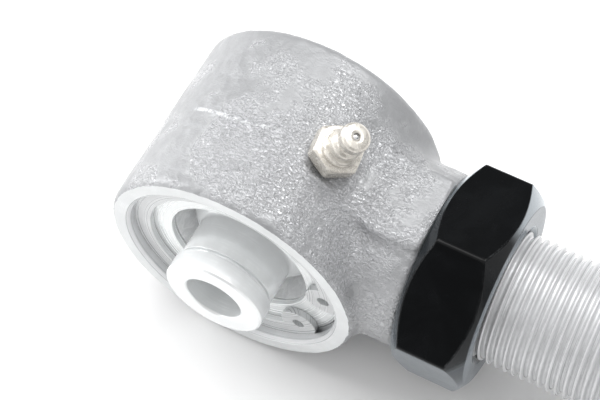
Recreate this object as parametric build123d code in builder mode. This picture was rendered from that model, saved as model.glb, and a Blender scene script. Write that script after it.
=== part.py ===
"""Greasable spherical rod end (tie rod end) with a male threaded shank and a jam nut.

Frame, in millimetres: the origin is the centre of the ball, +X runs along the shank,
+Y along the bolt axis (the snap ring closes the -Y side), and +Z points up through the
grease fitting's side of the eye.
"""

from math import asin, cos, pi, radians, sin, sqrt, tan
import os

from build123d import *

# ---------------------------------------------------------------- driving dimensions
# ball: a sphere with a neck, an undercut and an end collar on each side
SPHERE_DIA = 40.0
BALL_NECK_DIA = 23.6
BALL_NECK_BLEND = 1.2
BALL_PROUD = 7.95
COLLAR_RISE = 0.7
COLLAR_LENGTH = 4.8
COLLAR_CHAMFER = 0.5
UNDERCUT_WIDTH = 1.2
UNDERCUT_DEPTH = 0.9
BOLT_HOLE_DIA = 14.3
BOLT_HOLE_CHAMFER = 0.35
TILT_LIMIT = 15.0

# races round the ball, with the side washers and the snap ring
RACE_WALL = 6.9
RACE_GAP = 0.8
SPHERE_PAST_RACE = 2.2
WASHER_THICK = 1.6
RING_THICK = 1.6
RING_BAND = 5.7
RING_INSET = 2.65
RING_GROOVE_DEPTH = 1.5
RING_LUG_DIA = 9.2
RING_LUG_OFFSET = 0.4
RING_LUG_HOLE = 3.0
RING_GAP_ANGLE = -21.5
RING_LUG_HALF_ANGLE = 23.5

# forging: eye, neck with a flat rib on top, and shank
EYE_WALL = 4.75
EYE_EDGE = 1.0
BORE_CHAMFER = 0.8
LIP_STEP = 0.5
LIP_FLARE = 39.5
NECK_DIA = 43.0
NECK_LENGTH = 8.95
RIB_WIDTH = 19.0
RIB_RISE = 1.3
RIB_CORNER = 1.5
SHANK_LENGTH = 86.3
SHANK_CHAMFER = 1.6

# thread, 1-1/4 in with 12 threads to the inch
THREAD_DIA = 31.75
THREAD_PITCH = 25.4 / 12
THREAD_DEPTH = 1.2
THREAD_CREST = 0.5
THREAD_RUNOUT = 2.0

# jam nut
NUT_WALL = 7.625
NUT_THICK = 18.25
NUT_CHAMFER_ANGLE = 35.0
NUT_FACE_INSET = 1.2
NUT_TURN = -43.8

# grease fitting, screwed in at an angle between the top of the eye and the shank
FITTING_ANGLE = 27.0
FITTING_PIPE_DIA = 9.6
FITTING_HEX_RISE = 1.5
FITTING_HEX_HEIGHT = 4.0
FITTING_STANDOFF = 0.45
FITTING_NIPPLE = 9.4
FITTING_SHOULDER = 1.2
FITTING_CONE = 2.4
FITTING_WAIST_DIA = 5.2
FITTING_HEAD_DIA = 6.6
FITTING_HEAD_EDGE = 1.2
FITTING_FOOT_INSET = 0.3
FITTING_FOOT_BORE = 1.6
FITTING_MOUTH = 1.7
FITTING_MOUTH_LAND = 0.5
FITTING_BORE = 3.0
SPOTFACE_DIA = 14.5
SPOTFACE_DEPTH = 0.55
CHECK_BALL_DIA = 2.5
CHECK_SPRING_DIA = 2.4
CHECK_SPRING_WIRE = 0.3
CHECK_SPRING_LENGTH = 7.0
CHECK_SPRING_TURNS = 7

# named clearances
RACE_TO_BALL = 0.05
RACE_TO_BORE = 0.05
RACE_END_PLAY = 0.1
MOUTH_SPARE = 0.2
NECK_SPARE = 0.5
WASHER_TO_BORE = 0.2
WASHER_TO_MOUTH = 0.2
RING_TO_GROOVE = 0.2
RING_SIDE_PLAY = 0.05
NUT_SEAT_GAP = 0.15
NUT_THREAD_CLEARANCE = 0.25
FITTING_TO_HOLE = 0.3
CHECK_BALL_GAP = 0.02

# ---------------------------------------------------------------- derived dimensions
SPHERE_R = SPHERE_DIA / 2
BALL_NECK_R = BALL_NECK_DIA / 2
COLLAR_R = BALL_NECK_R + COLLAR_RISE
RACE_INNER_R = SPHERE_R + RACE_TO_BALL
RACE_OUTER_R = RACE_INNER_R + RACE_WALL
BORE_R = RACE_OUTER_R + RACE_TO_BORE
EYE_R = BORE_R + EYE_WALL

# levels along the bolt axis, the same on both sides of the middle
RACE_INNER_Y = RACE_GAP / 2
RACE_OUTER_Y = SPHERE_R - SPHERE_PAST_RACE
RACE_WIDTH = RACE_OUTER_Y - RACE_INNER_Y
WASHER_INNER_Y = RACE_OUTER_Y + RACE_END_PLAY
WASHER_OUTER_Y = WASHER_INNER_Y + WASHER_THICK
RING_INNER_Y = WASHER_OUTER_Y + RING_SIDE_PLAY
RING_OUTER_Y = RING_INNER_Y + RING_THICK
EYE_HALF = RING_OUTER_Y + RING_INSET
BALL_HALF = EYE_HALF + BALL_PROUD

# the races' mouths flare from a throat, and leave room for the ball's neck at its tilt limit
NECK_ANGLE = asin((BALL_NECK_R + BALL_NECK_BLEND) / (SPHERE_R + BALL_NECK_BLEND))
RACE_THROAT_R = RACE_INNER_R * sin(NECK_ANGLE + radians(TILT_LIMIT)) + MOUTH_SPARE
RACE_THROAT_Y = sqrt(RACE_INNER_R**2 - RACE_THROAT_R**2)
NECK_REACH = BALL_NECK_R + NECK_SPARE + RACE_OUTER_Y * sin(radians(TILT_LIMIT))
RACE_MOUTH_R = max(RACE_THROAT_R, NECK_REACH / cos(radians(TILT_LIMIT)))
WASHER_HOLE_R = RACE_MOUTH_R + WASHER_TO_MOUTH
LIP_HOLE_R = WASHER_HOLE_R + LIP_STEP
LIP_MOUTH_R = LIP_HOLE_R + (EYE_HALF - WASHER_OUTER_Y) * tan(radians(LIP_FLARE))

GROOVE_R = BORE_R + RING_GROOVE_DEPTH
RING_R = GROOVE_R - RING_TO_GROOVE
RING_INNER_R = RING_R - RING_BAND

NECK_R = NECK_DIA / 2
NECK_END_X = EYE_R + NECK_LENGTH
RIB_TOP_Z = NECK_R + RIB_RISE
SHANK_END_X = NECK_END_X + SHANK_LENGTH
THREAD_R = THREAD_DIA / 2
GROOVE_HALF = (THREAD_PITCH - THREAD_CREST) / 2

BOLT_AXIS = Axis.Y
SHANK_AXIS = Axis.X
FITTING_DIR = Vector(sin(radians(FITTING_ANGLE)), 0, cos(radians(FITTING_ANGLE)))
FITTING_AXIS = Axis(origin=(0, 0, 0), direction=FITTING_DIR)


def level(y):
    """Plane across the bolt axis at y, with its normal along +Y and its x along +X."""
    return Plane(origin=(0, y, 0), x_dir=(1, 0, 0), z_dir=(0, 1, 0))


def station(x):
    """Plane across the shank at x, with its normal along +X and its x along +Y."""
    return Plane(origin=(x, 0, 0), x_dir=(0, 1, 0), z_dir=(1, 0, 0))


def fitting_plane(distance):
    """Plane across the grease fitting's axis at a distance from the ball's centre."""
    return Plane(origin=FITTING_DIR * distance, x_dir=(0, 1, 0), z_dir=FITTING_DIR)


def groove_centres(first_x, last_x):
    """Stations of the thread's grooves between two stations along the shank."""
    count = int((last_x - first_x) / THREAD_PITCH)
    return [first_x + THREAD_PITCH * (i + 0.5) for i in range(count)]


def groove_profiles(centres, crest_r, root_r):
    """Triangles in a sketch on Plane.XY that cut V grooves when they are revolved."""
    for x in centres:
        Polygon((x - GROOVE_HALF, crest_r), (x, root_r), (x + GROOVE_HALF, crest_r), align=None)


def circles_at(piece, y):
    """A piece's round edges that lie at +y or -y along the bolt axis."""
    edges = piece.edges().filter_by(GeomType.CIRCLE)
    return edges.filter_by(lambda e: abs(abs(e.center().Y) - y) < 0.01)


def save(piece, label):
    piece.part.label = label
    export_step(piece.part, f"parts/{label}.step")


os.makedirs("parts", exist_ok=True)

# ---------------------------------------------------------------- forged housing
with BuildPart() as forged_housing:
    # the neck and its top rib run from the middle of the eye to the shoulder
    with BuildSketch(station(0)):
        Circle(NECK_R)
        with Locations((0, RIB_TOP_Z / 2)):
            RectangleRounded(RIB_WIDTH, RIB_TOP_Z, RIB_CORNER)
    extrude(amount=NECK_END_X)
    shoulder = forged_housing.faces().sort_by(SHANK_AXIS)[-1]
    chamfer(shoulder.edges(), RIB_CORNER)
    with BuildSketch(level(-EYE_HALF)):
        Circle(EYE_R)
    extrude(amount=2 * EYE_HALF)
    fillet(circles_at(forged_housing, EYE_HALF), EYE_EDGE)
    # the shank has the thread's major diameter and a chamfered tip
    with BuildSketch(station(0)):
        Circle(THREAD_R)
    extrude(amount=SHANK_END_X)
    chamfer(forged_housing.edges().sort_by(SHANK_AXIS)[-1], SHANK_CHAMFER)
    # bore for races and washers, open at -Y with a ring groove, closed by the lip at +Y
    with BuildSketch(Plane.XY):
        with BuildLine():
            Polyline(
                (0, -EYE_HALF),
                (BORE_R + BORE_CHAMFER, -EYE_HALF),
                (BORE_R, -EYE_HALF + BORE_CHAMFER),
                (BORE_R, -RING_OUTER_Y - RING_SIDE_PLAY),
                (GROOVE_R, -RING_OUTER_Y - RING_SIDE_PLAY),
                (GROOVE_R, -RING_INNER_Y + RING_SIDE_PLAY),
                (BORE_R, -RING_INNER_Y + RING_SIDE_PLAY),
                (BORE_R, WASHER_OUTER_Y),
                (LIP_HOLE_R, WASHER_OUTER_Y),
                (LIP_MOUTH_R, EYE_HALF),
                (0, EYE_HALF),
                close=True,
            )
        make_face()
    revolve(axis=BOLT_AXIS, mode=Mode.SUBTRACT)
    # spot face and tapped hole for the grease fitting
    with BuildSketch(fitting_plane(EYE_R - SPOTFACE_DEPTH)):
        Circle(SPOTFACE_DIA / 2)
    extrude(amount=SPOTFACE_DEPTH + RIB_CORNER, mode=Mode.SUBTRACT)
    with BuildSketch(fitting_plane(0)):
        Circle(FITTING_PIPE_DIA / 2 + FITTING_TO_HOLE)
    extrude(amount=EYE_R, mode=Mode.SUBTRACT)
    # annular V grooves stand for the thread
    with BuildSketch(Plane.XY):
        thread_first_x = NECK_END_X + THREAD_RUNOUT
        thread_last_x = SHANK_END_X - SHANK_CHAMFER
        groove_profiles(
            groove_centres(thread_first_x, thread_last_x), THREAD_R, THREAD_R - THREAD_DEPTH
        )
    revolve(axis=SHANK_AXIS, mode=Mode.SUBTRACT)
save(forged_housing, "forged_housing")

# ---------------------------------------------------------------- ball
COLLAR_Y = BALL_HALF - COLLAR_LENGTH
UNDERCUT_Y = COLLAR_Y - UNDERCUT_WIDTH

with BuildPart() as ball:
    Sphere(SPHERE_R)
    with BuildSketch(level(-BALL_HALF)):
        Circle(BALL_NECK_R)
    extrude(amount=2 * BALL_HALF)
    joins = ball.edges().filter_by(GeomType.CIRCLE)
    joins = joins.filter_by(lambda e: abs(e.center().Y) < SPHERE_R)
    fillet(joins, BALL_NECK_BLEND)
    for y in (-BALL_HALF, COLLAR_Y):
        with BuildSketch(level(y)):
            Circle(COLLAR_R)
        extrude(amount=COLLAR_LENGTH)
    for y in (-COLLAR_Y, UNDERCUT_Y):
        with BuildSketch(level(y)):
            Circle(COLLAR_R)
            Circle(BALL_NECK_R - UNDERCUT_DEPTH, mode=Mode.SUBTRACT)
        extrude(amount=UNDERCUT_WIDTH, mode=Mode.SUBTRACT)
    chamfer(circles_at(ball, BALL_HALF), COLLAR_CHAMFER)
    with BuildSketch(level(-BALL_HALF)):
        Circle(BOLT_HOLE_DIA / 2)
    extrude(amount=2 * BALL_HALF, mode=Mode.SUBTRACT)
    bolt_hole = circles_at(ball, BALL_HALF).group_by(SortBy.RADIUS)[0]
    chamfer(bolt_hole, BOLT_HOLE_CHAMFER)
save(ball, "ball")

# ---------------------------------------------------------------- races
for label, side in (("race_front", -1), ("race_back", 1)):
    with BuildPart() as race:
        with BuildSketch(level(side * RACE_INNER_Y)):
            Circle(RACE_OUTER_R)
        extrude(amount=side * RACE_WIDTH)
        Sphere(RACE_INNER_R, mode=Mode.SUBTRACT)
        with BuildSketch(Plane.XY):
            Polygon(
                (0, 0),
                (RACE_THROAT_R, 0),
                (RACE_THROAT_R, side * RACE_THROAT_Y),
                (RACE_MOUTH_R, side * RACE_OUTER_Y),
                (0, side * RACE_OUTER_Y),
                align=None,
            )
        revolve(axis=BOLT_AXIS, mode=Mode.SUBTRACT)
    save(race, label)

# ---------------------------------------------------------------- washers
for label, y in (("washer_front", -WASHER_OUTER_Y), ("washer_back", WASHER_INNER_Y)):
    with BuildPart() as washer:
        with BuildSketch(level(y)):
            Circle(BORE_R - WASHER_TO_BORE)
            Circle(WASHER_HOLE_R, mode=Mode.SUBTRACT)
        extrude(amount=WASHER_THICK)
    save(washer, label)

# ---------------------------------------------------------------- snap ring
LUG_ANGLES = [RING_GAP_ANGLE + side * RING_LUG_HALF_ANGLE for side in (-1, 1)]


def around(angle, radius):
    """Point on a level() plane at an angle from +X towards +Z."""
    return (radius * cos(radians(angle)), -radius * sin(radians(angle)))


with BuildPart() as snap_ring:
    with BuildSketch(level(-RING_OUTER_Y)):
        Circle(RING_R)
        Circle(RING_INNER_R, mode=Mode.SUBTRACT)
        # the gap reaches from lug to lug
        with BuildLine():
            Polyline(
                (0, 0),
                around(LUG_ANGLES[0], 2 * RING_R),
                around(RING_GAP_ANGLE, 2 * RING_R),
                around(LUG_ANGLES[1], 2 * RING_R),
                close=True,
            )
        make_face(mode=Mode.SUBTRACT)
        for angle in LUG_ANGLES:
            with Locations(around(angle, RING_INNER_R + RING_LUG_OFFSET)):
                Circle(RING_LUG_DIA / 2)
        for angle in LUG_ANGLES:
            with Locations(around(angle, RING_INNER_R + RING_LUG_OFFSET)):
                Circle(RING_LUG_HOLE / 2, mode=Mode.SUBTRACT)
    extrude(amount=RING_THICK)
save(snap_ring, "snap_ring")

# ---------------------------------------------------------------- jam nut
NUT_X = NECK_END_X + NUT_SEAT_GAP
NUT_END_X = NUT_X + NUT_THICK
NUT_HALF_FLATS = THREAD_R + NUT_WALL
NUT_CORNER_R = NUT_HALF_FLATS / cos(pi / 6)
NUT_FACE_R = NUT_HALF_FLATS - NUT_FACE_INSET
NUT_BORE_R = THREAD_R + NUT_THREAD_CLEARANCE
NUT_CHAMFER = (NUT_CORNER_R - NUT_FACE_R) * tan(radians(NUT_CHAMFER_ANGLE))

with BuildPart() as jam_nut:
    with BuildSketch(station(NUT_X)):
        RegularPolygon(NUT_CORNER_R, 6, rotation=90 + NUT_TURN)
    extrude(amount=NUT_THICK)
    # both ends are turned down to round faces
    with BuildSketch(Plane.XY):
        with BuildLine():
            Polyline(
                (NUT_X, 0),
                (NUT_X, NUT_FACE_R),
                (NUT_X + NUT_CHAMFER, NUT_CORNER_R),
                (NUT_END_X - NUT_CHAMFER, NUT_CORNER_R),
                (NUT_END_X, NUT_FACE_R),
                (NUT_END_X, 0),
                close=True,
            )
        make_face()
    revolve(axis=SHANK_AXIS, mode=Mode.INTERSECT)
    with BuildSketch(station(NUT_X)):
        Circle(NUT_BORE_R)
    extrude(amount=NUT_THICK, mode=Mode.SUBTRACT)
    with BuildSketch(Plane.XY):
        nut_grooves = groove_centres(NUT_X + THREAD_CREST, NUT_END_X - THREAD_CREST)
        groove_profiles(nut_grooves, NUT_BORE_R, NUT_BORE_R + THREAD_DEPTH)
    revolve(axis=SHANK_AXIS, mode=Mode.SUBTRACT)
save(jam_nut, "jam_nut")

# ---------------------------------------------------------------- grease fitting
HEAD_R = FITTING_HEAD_DIA / 2
WAIST_R = FITTING_WAIST_DIA / 2
PIPE_R = FITTING_PIPE_DIA / 2
HEX_FLATS = FITTING_PIPE_DIA + FITTING_HEX_RISE
HEX_BASE = EYE_R + FITTING_STANDOFF
HEX_TOP = HEX_BASE + FITTING_HEX_HEIGHT
FITTING_TOP = HEX_TOP + FITTING_NIPPLE
FITTING_FOOT = BORE_R + FITTING_FOOT_INSET
SHOULDER_R = (HEX_FLATS / 2 + HEAD_R) / 2
SHOULDER_TOP = HEX_TOP + FITTING_SHOULDER
HEAD_LOW = FITTING_TOP - 2 * FITTING_HEAD_EDGE

# the check ball touches the mouth's edge from below, and the spring's last turn bears on it
MOUTH_R = FITTING_MOUTH / 2
CHECK_R = CHECK_BALL_DIA / 2
WIRE_R = CHECK_SPRING_WIRE / 2
COIL_R = CHECK_SPRING_DIA / 2 - WIRE_R
CHAMBER_TOP = FITTING_TOP - FITTING_MOUTH_LAND
CHECK_LEVEL = CHAMBER_TOP - sqrt(CHECK_R**2 - MOUTH_R**2) - CHECK_BALL_GAP
COIL_TOP = CHECK_LEVEL - sqrt((CHECK_R + WIRE_R) ** 2 - COIL_R**2) - CHECK_BALL_GAP
COIL_FOOT = COIL_TOP - CHECK_SPRING_LENGTH
CHAMBER_FOOT = COIL_FOOT - WIRE_R

FITTING_SIDE = BOLT_AXIS.direction.cross(FITTING_DIR)
fitting_profile = Plane(origin=(0, 0, 0), x_dir=(0, 1, 0), z_dir=FITTING_SIDE)

with BuildPart() as fitting_body:
    with BuildSketch(fitting_plane(HEX_BASE)):
        RegularPolygon(HEX_FLATS / 2, 6, major_radius=False)
    extrude(amount=FITTING_HEX_HEIGHT)
    with BuildSketch(fitting_profile):
        with BuildLine():
            Polyline(
                (0, FITTING_FOOT),
                (PIPE_R, FITTING_FOOT),
                (PIPE_R, HEX_BASE),
                (SHOULDER_R, HEX_BASE),
                (SHOULDER_R, SHOULDER_TOP),
                (WAIST_R, SHOULDER_TOP + FITTING_CONE),
                (WAIST_R, HEAD_LOW - FITTING_HEAD_EDGE),
                (HEAD_R, HEAD_LOW),
                (HEAD_R, FITTING_TOP - FITTING_HEAD_EDGE),
                (WAIST_R, FITTING_TOP),
                (0, FITTING_TOP),
                close=True,
            )
        make_face()
    revolve(axis=FITTING_AXIS)
    with BuildSketch(fitting_plane(CHAMBER_FOOT)):
        Circle(FITTING_BORE / 2)
    extrude(amount=CHAMBER_TOP - CHAMBER_FOOT, mode=Mode.SUBTRACT)
    with BuildSketch(fitting_plane(CHAMBER_TOP)):
        Circle(MOUTH_R)
    extrude(amount=FITTING_MOUTH_LAND, mode=Mode.SUBTRACT)
    with BuildSketch(fitting_plane(FITTING_FOOT)):
        Circle(FITTING_FOOT_BORE / 2)
    extrude(amount=CHAMBER_FOOT - FITTING_FOOT, mode=Mode.SUBTRACT)
save(fitting_body, "fitting_body")

with BuildPart() as fitting_check_ball:
    with BuildSketch(fitting_profile):
        with BuildLine():
            CenterArc((0, CHECK_LEVEL), CHECK_R, -90, 180)
            Line((0, CHECK_LEVEL + CHECK_R), (0, CHECK_LEVEL - CHECK_R))
        make_face()
    revolve(axis=FITTING_AXIS)
save(fitting_check_ball, "fitting_check_ball")

with BuildPart() as fitting_spring:
    with BuildLine() as coil:
        Helix(
            CHECK_SPRING_LENGTH / CHECK_SPRING_TURNS,
            CHECK_SPRING_LENGTH,
            COIL_R,
            center=FITTING_DIR * COIL_FOOT,
            direction=FITTING_DIR,
        )
    with BuildSketch(Plane(origin=coil.line @ 0, z_dir=coil.line % 0)):
        Circle(WIRE_R)
    sweep(is_frenet=True)
save(fitting_spring, "fitting_spring")
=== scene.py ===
"""Tie rod end: forged eye with a swivelling ball, threaded shank, grease fitting and jam nut."""

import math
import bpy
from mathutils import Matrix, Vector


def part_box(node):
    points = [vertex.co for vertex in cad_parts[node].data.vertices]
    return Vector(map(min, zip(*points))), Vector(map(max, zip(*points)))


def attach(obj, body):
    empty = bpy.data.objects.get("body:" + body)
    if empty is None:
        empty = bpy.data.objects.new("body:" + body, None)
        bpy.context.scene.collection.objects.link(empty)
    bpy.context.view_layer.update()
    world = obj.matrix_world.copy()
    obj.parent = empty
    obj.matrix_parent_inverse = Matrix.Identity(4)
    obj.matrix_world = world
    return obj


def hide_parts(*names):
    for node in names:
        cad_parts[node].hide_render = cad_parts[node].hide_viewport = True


bl_info = {
    "name": "Tie Rod End",
    "version": (1, 0, 0),
    "blender": (4, 5, 0),
    "location": "View3D > Sidebar > Rod End",
    "description": "Builds the looks of a greasable rod end round its packed frame",
    "category": "Add Mesh",
}

from contextlib import contextmanager

import bmesh
import bpy
import numpy as np
from mathutils import Matrix, Vector, noise

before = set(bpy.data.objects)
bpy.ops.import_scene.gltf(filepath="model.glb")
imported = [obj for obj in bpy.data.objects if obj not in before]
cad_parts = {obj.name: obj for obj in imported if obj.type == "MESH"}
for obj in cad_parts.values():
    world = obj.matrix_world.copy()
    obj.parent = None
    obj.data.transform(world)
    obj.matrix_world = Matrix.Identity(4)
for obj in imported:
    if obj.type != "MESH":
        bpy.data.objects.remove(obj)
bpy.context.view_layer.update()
MM = 0.001

# ---------------------------------------------------------------- sizes from the frame
housing_low, housing_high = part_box("forged_housing")
ball_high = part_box("ball")[1]
race_low, race_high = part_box("race_back")
washer_low, washer_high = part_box("washer_back")
ring_low, ring_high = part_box("snap_ring")
nut_low, nut_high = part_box("jam_nut")

EYE_R = -housing_low.x
EYE_HALF = housing_high.y
SHANK_END = housing_high.x
SPHERE_R = ball_high.x
BALL_HALF = ball_high.y
RACE_R = race_high.x
RACE_INNER_Y = race_low.y
RACE_OUTER_Y = race_high.y
WASHER_R = washer_high.x
WASHER_INNER_Y = washer_low.y
WASHER_OUTER_Y = washer_high.y
RING_OUTER_Y = -ring_low.y
RING_INNER_Y = -ring_high.y
NUT_START = nut_low.x
NUT_END = nut_high.x

# ---------------------------------------------------------------- sizes the frame doesn't hold
RUNNING_CLEARANCE = 0.05 * MM
BORE_R = RACE_R + RUNNING_CLEARANCE
RING_GROOVE_R = BORE_R + 1.5 * MM
RING_PLAY = 0.05 * MM
RACE_THROAT_R = 16.17 * MM
RACE_MOUTH_R = 17.5 * MM
WASHER_HOLE_R = 17.7 * MM
LIP_HOLE_R = 18.2 * MM
LIP_MOUTH_R = 21.75 * MM
BALL_NECK_R = 11.8 * MM
BALL_NECK_BLEND = 1.2 * MM
COLLAR_R = 12.5 * MM
COLLAR_LENGTH = 4.8 * MM
UNDERCUT_WIDTH = 1.2 * MM
UNDERCUT_R = BALL_NECK_R - 0.9 * MM
BOLT_HOLE_R = 7.15 * MM
NECK_END = NUT_START - 0.15 * MM
NECK_BLANK = NECK_END + 0.5 * MM
NECK_R = 21.4 * MM
RIB_HALF = 9.2 * MM
RIB_TOP = 22.8 * MM
THREAD_R = 15.875 * MM
THREAD_PITCH = 25.4 * MM / 12
THREAD_ROOT_R = THREAD_R - 1.25 * MM
THREAD_TIP_R = THREAD_R - 1.7 * MM
NUT_FLATS_R = 23.5 * MM
NUT_CHAMFER = math.radians(35)
NUT_COUNTERSINK = 1.4 * MM
NUT_THREAD_DEPTH = 0.9 * MM
NUT_FACE_R = 22.3 * MM
NUT_BORE_R = THREAD_R + 0.25 * MM
NUT_TURN = math.radians(46.2)
FITTING_ANGLE = math.radians(27.0)
FITTING_DIR = Vector((math.sin(FITTING_ANGLE), 0, math.cos(FITTING_ANGLE)))
HEX_BASE = EYE_R + 0.45 * MM
HEX_TOP = HEX_BASE + 4.0 * MM
HEX_TURN = math.radians(8)
FITTING_FOOT = BORE_R + 0.3 * MM


# ================================================================ settings a user would change
def length(name, description, default, low, high):
    """A setting that is a length in metres."""
    return bpy.props.FloatProperty(
        name=name,
        description=description,
        default=default,
        min=low,
        max=high,
        subtype="DISTANCE",
        unit="LENGTH",
    )


def paint(name, description, *default):
    """A setting that is a colour, from its red, green and blue."""
    return bpy.props.FloatVectorProperty(
        name=name,
        description=description,
        default=(*default, 1.0),
        size=4,
        min=0.0,
        max=1.0,
        subtype="COLOR",
    )


class ForgingSettings(bpy.types.PropertyGroup):
    """Sizes and colour of the forged housing's skin."""

    voxel: length(
        "Skin detail", "Spacing of the mesh that carries the forged skin", 0.42 * MM, 0.25 * MM, 2 * MM
    )
    scale_height: length("Scale height", "Height of the pebbled forging scale", 0.13 * MM, 0.0, 0.6 * MM)
    flash_height: length(
        "Flash height",
        "Height of the ridge that the forging dies leave where they meet",
        0.50 * MM,
        0.0,
        1 * MM,
    )
    blend: length(
        "Neck blend", "Width of the blend where the neck leaves the eye", 3.4 * MM, 0.5 * MM, 8 * MM
    )
    colour: paint("Forging colour", "Colour of the forging skin", 0.325, 0.33, 0.34)


class BearingSettings(bpy.types.PropertyGroup):
    """Edges and colours of the ball, races, washers and snap ring."""

    edge: length(
        "Edge rounding", "Rounding of the turned and stamped edges", 0.22 * MM, 0.05 * MM, 1 * MM
    )
    ball_colour: paint("Ball colour", "Colour of the turned ball and its collars", 0.92, 0.935, 0.94)
    washer_colour: paint("Washer colour", "Colour of the zinc-plated side washers", 0.90, 0.92, 0.92)


class NutSettings(bpy.types.PropertyGroup):
    """Edges and colour of the jam nut."""

    ridge: length(
        "Ridge rounding", "Rounding of the six ridges between the nut's flats", 0.8 * MM, 0.1 * MM, 3 * MM
    )
    colour: paint("Nut colour", "Colour of the nut's black oxide", 0.002, 0.0022, 0.0025)


class StageSettings(bpy.types.PropertyGroup):
    """Floor and light."""

    floor_colour: paint("Floor colour", "Colour of the plain floor", 0.93, 0.93, 0.93)
    key_power: bpy.props.FloatProperty(
        name="Key light",
        description="Power of the large softbox over the part, in watts",
        default=3.0,
        min=0.0,
        max=100.0,
    )


# ================================================================ mesh helpers
@contextmanager
def edited(mesh):
    """A mesh's contents to edit, written back at the end."""
    work = bmesh.new()
    work.from_mesh(mesh)
    yield work
    work.to_mesh(mesh)
    work.free()


def in_scene(name, data):
    """A new object in the scene that shows a mesh, light or camera."""
    item = bpy.data.objects.new(name, data)
    bpy.context.scene.collection.objects.link(item)
    return item


def mesh_piece(name, points, faces, material, body):
    """A new mesh object from points and faces, finished, and riding on a body."""
    mesh = bpy.data.meshes.new(name)
    mesh.from_pydata([tuple(p) for p in points], [], [tuple(f) for f in faces])
    mesh.validate()
    mesh.materials.append(material)
    piece = in_scene(name, mesh)
    mesh.shade_smooth()
    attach(piece, body)
    return piece


def face_outward(piece):
    """Turns every face of a closed piece outward."""
    with edited(piece.data) as mesh:
        bmesh.ops.remove_doubles(mesh, verts=mesh.verts, dist=0.002 * MM)
        bmesh.ops.recalc_face_normals(mesh, faces=mesh.faces)
    piece.data.shade_smooth()


def weigh_normals(piece):
    """Keeps large flats looking flat beside their small rounded edges."""
    weighted = piece.modifiers.new("weighted normals", "WEIGHTED_NORMAL")
    weighted.weight = 100
    weighted.keep_sharp = True


def round_edges(piece, width, angle=math.radians(25)):
    """Rounds a CAD node's or a built piece's sharp edges."""
    bevel = piece.modifiers.new("edge rounding", "BEVEL")
    bevel.width = width
    bevel.segments = 3
    bevel.limit_method = "ANGLE"
    bevel.angle_limit = angle
    weigh_normals(piece)


def break_edges(piece, width, beyond, axis, angle=math.radians(20)):
    """Breaks a turned piece's sharp edges that lie beyond a radius from its axis."""
    axis = Vector(axis).normalized()
    with edited(piece.data) as work:
        weight = work.edges.layers.float.new("bevel_weight_edge")
        for edge in work.edges:
            middle = (edge.verts[0].co + edge.verts[1].co) / 2
            far = (middle - axis * middle.dot(axis)).length > beyond
            if far and len(edge.link_faces) == 2 and edge.calc_face_angle(0) > angle:
                edge[weight] = 1.0
    bevel = piece.modifiers.new("broken edges", "BEVEL")
    bevel.width = width
    bevel.segments = 3
    bevel.limit_method = "WEIGHT"
    weigh_normals(piece)


def rounded_outline(corners, steps=4, closed=True):
    """An outline from (radius, station, rounding) corners, with each rounding as an arc."""
    points = []
    count = len(corners)
    for i, (x, y, rounding) in enumerate(corners):
        here = np.array((x, y))
        if rounding <= 0 or (not closed and i in (0, count - 1)):
            points.append(here)
            continue
        before = np.array(corners[i - 1][:2]) - here
        after = np.array(corners[(i + 1) % count][:2]) - here
        long_before, long_after = np.linalg.norm(before), np.linalg.norm(after)
        before, after = before / long_before, after / long_after
        half = math.acos(np.clip(before @ after, -1, 1)) / 2
        setback = min(rounding / math.tan(half), 0.45 * long_before, 0.45 * long_after)
        radius = setback * math.tan(half)
        middle = before + after
        centre = here + middle / np.linalg.norm(middle) * radius / math.sin(half)
        start, end = here + before * setback - centre, here + after * setback - centre
        for step in range(steps + 1):
            share = step / steps
            arc = start * (1 - share) + end * share
            points.append(centre + arc / np.linalg.norm(arc) * radius)
    return points


def arc_points(radius, first, last, steps):
    """(radius, station) points of an arc about the origin, by angle from the turning axis."""
    angles = np.linspace(first, last, steps)
    return [(radius * math.sin(a), radius * math.cos(a)) for a in angles]


def basis(axis):
    """Two directions across an axis, with x across first where it can."""
    axis = Vector(axis).normalized()
    across = Vector((0, 1, 0)) if abs(axis.y) < 0.5 else Vector((1, 0, 0))
    second = axis.cross(across).normalized()
    return across, second, axis


def turned_grid(outline, axis, segments, closed=True):
    """Points and faces of an outline of (radius, station) turned about an axis."""
    angles = np.linspace(0, 2 * math.pi, segments, endpoint=False)
    flat = 0 * angles
    rows = [(flat + radius, flat + station) for radius, station in outline]
    return grid_of_rows(rows, angles, axis, closed=closed)


def turned_piece(name, outline, axis, material, body, segments=160):
    """A closed outline turned about an axis."""
    points, faces = turned_grid(outline, axis, segments)
    piece = mesh_piece(name, points, faces, material, body)
    face_outward(piece)
    weigh_normals(piece)
    return piece


def hexagon_radius(angle, flats, ridge):
    """Radius of a hexagon with rounded ridges at an angle from a ridge."""
    off_ridge = (angle + math.pi / 6) % (math.pi / 3) - math.pi / 6
    inner_corner = (flats - ridge) / math.cos(math.pi / 6)
    tangent = math.atan2(ridge / 2, inner_corner + ridge * math.cos(math.pi / 6))
    if abs(off_ridge) < tangent:
        across = inner_corner * math.sin(off_ridge)
        return inner_corner * math.cos(off_ridge) + math.sqrt(ridge**2 - across**2)
    return flats / math.cos(math.pi / 6 - abs(off_ridge))


def ridge_angles(per_flat=18, per_ridge=6, spread=0.05):
    """Angles round a hexagon, closer together at its ridges."""
    angles = []
    for k in range(6):
        centre = k * math.pi / 3
        angles += list(centre + np.linspace(-spread, spread, per_ridge, endpoint=False))
        rest = np.linspace(spread, math.pi / 3 - spread, per_flat, endpoint=False)
        angles += list(centre + rest)
    return np.array(angles)


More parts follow.
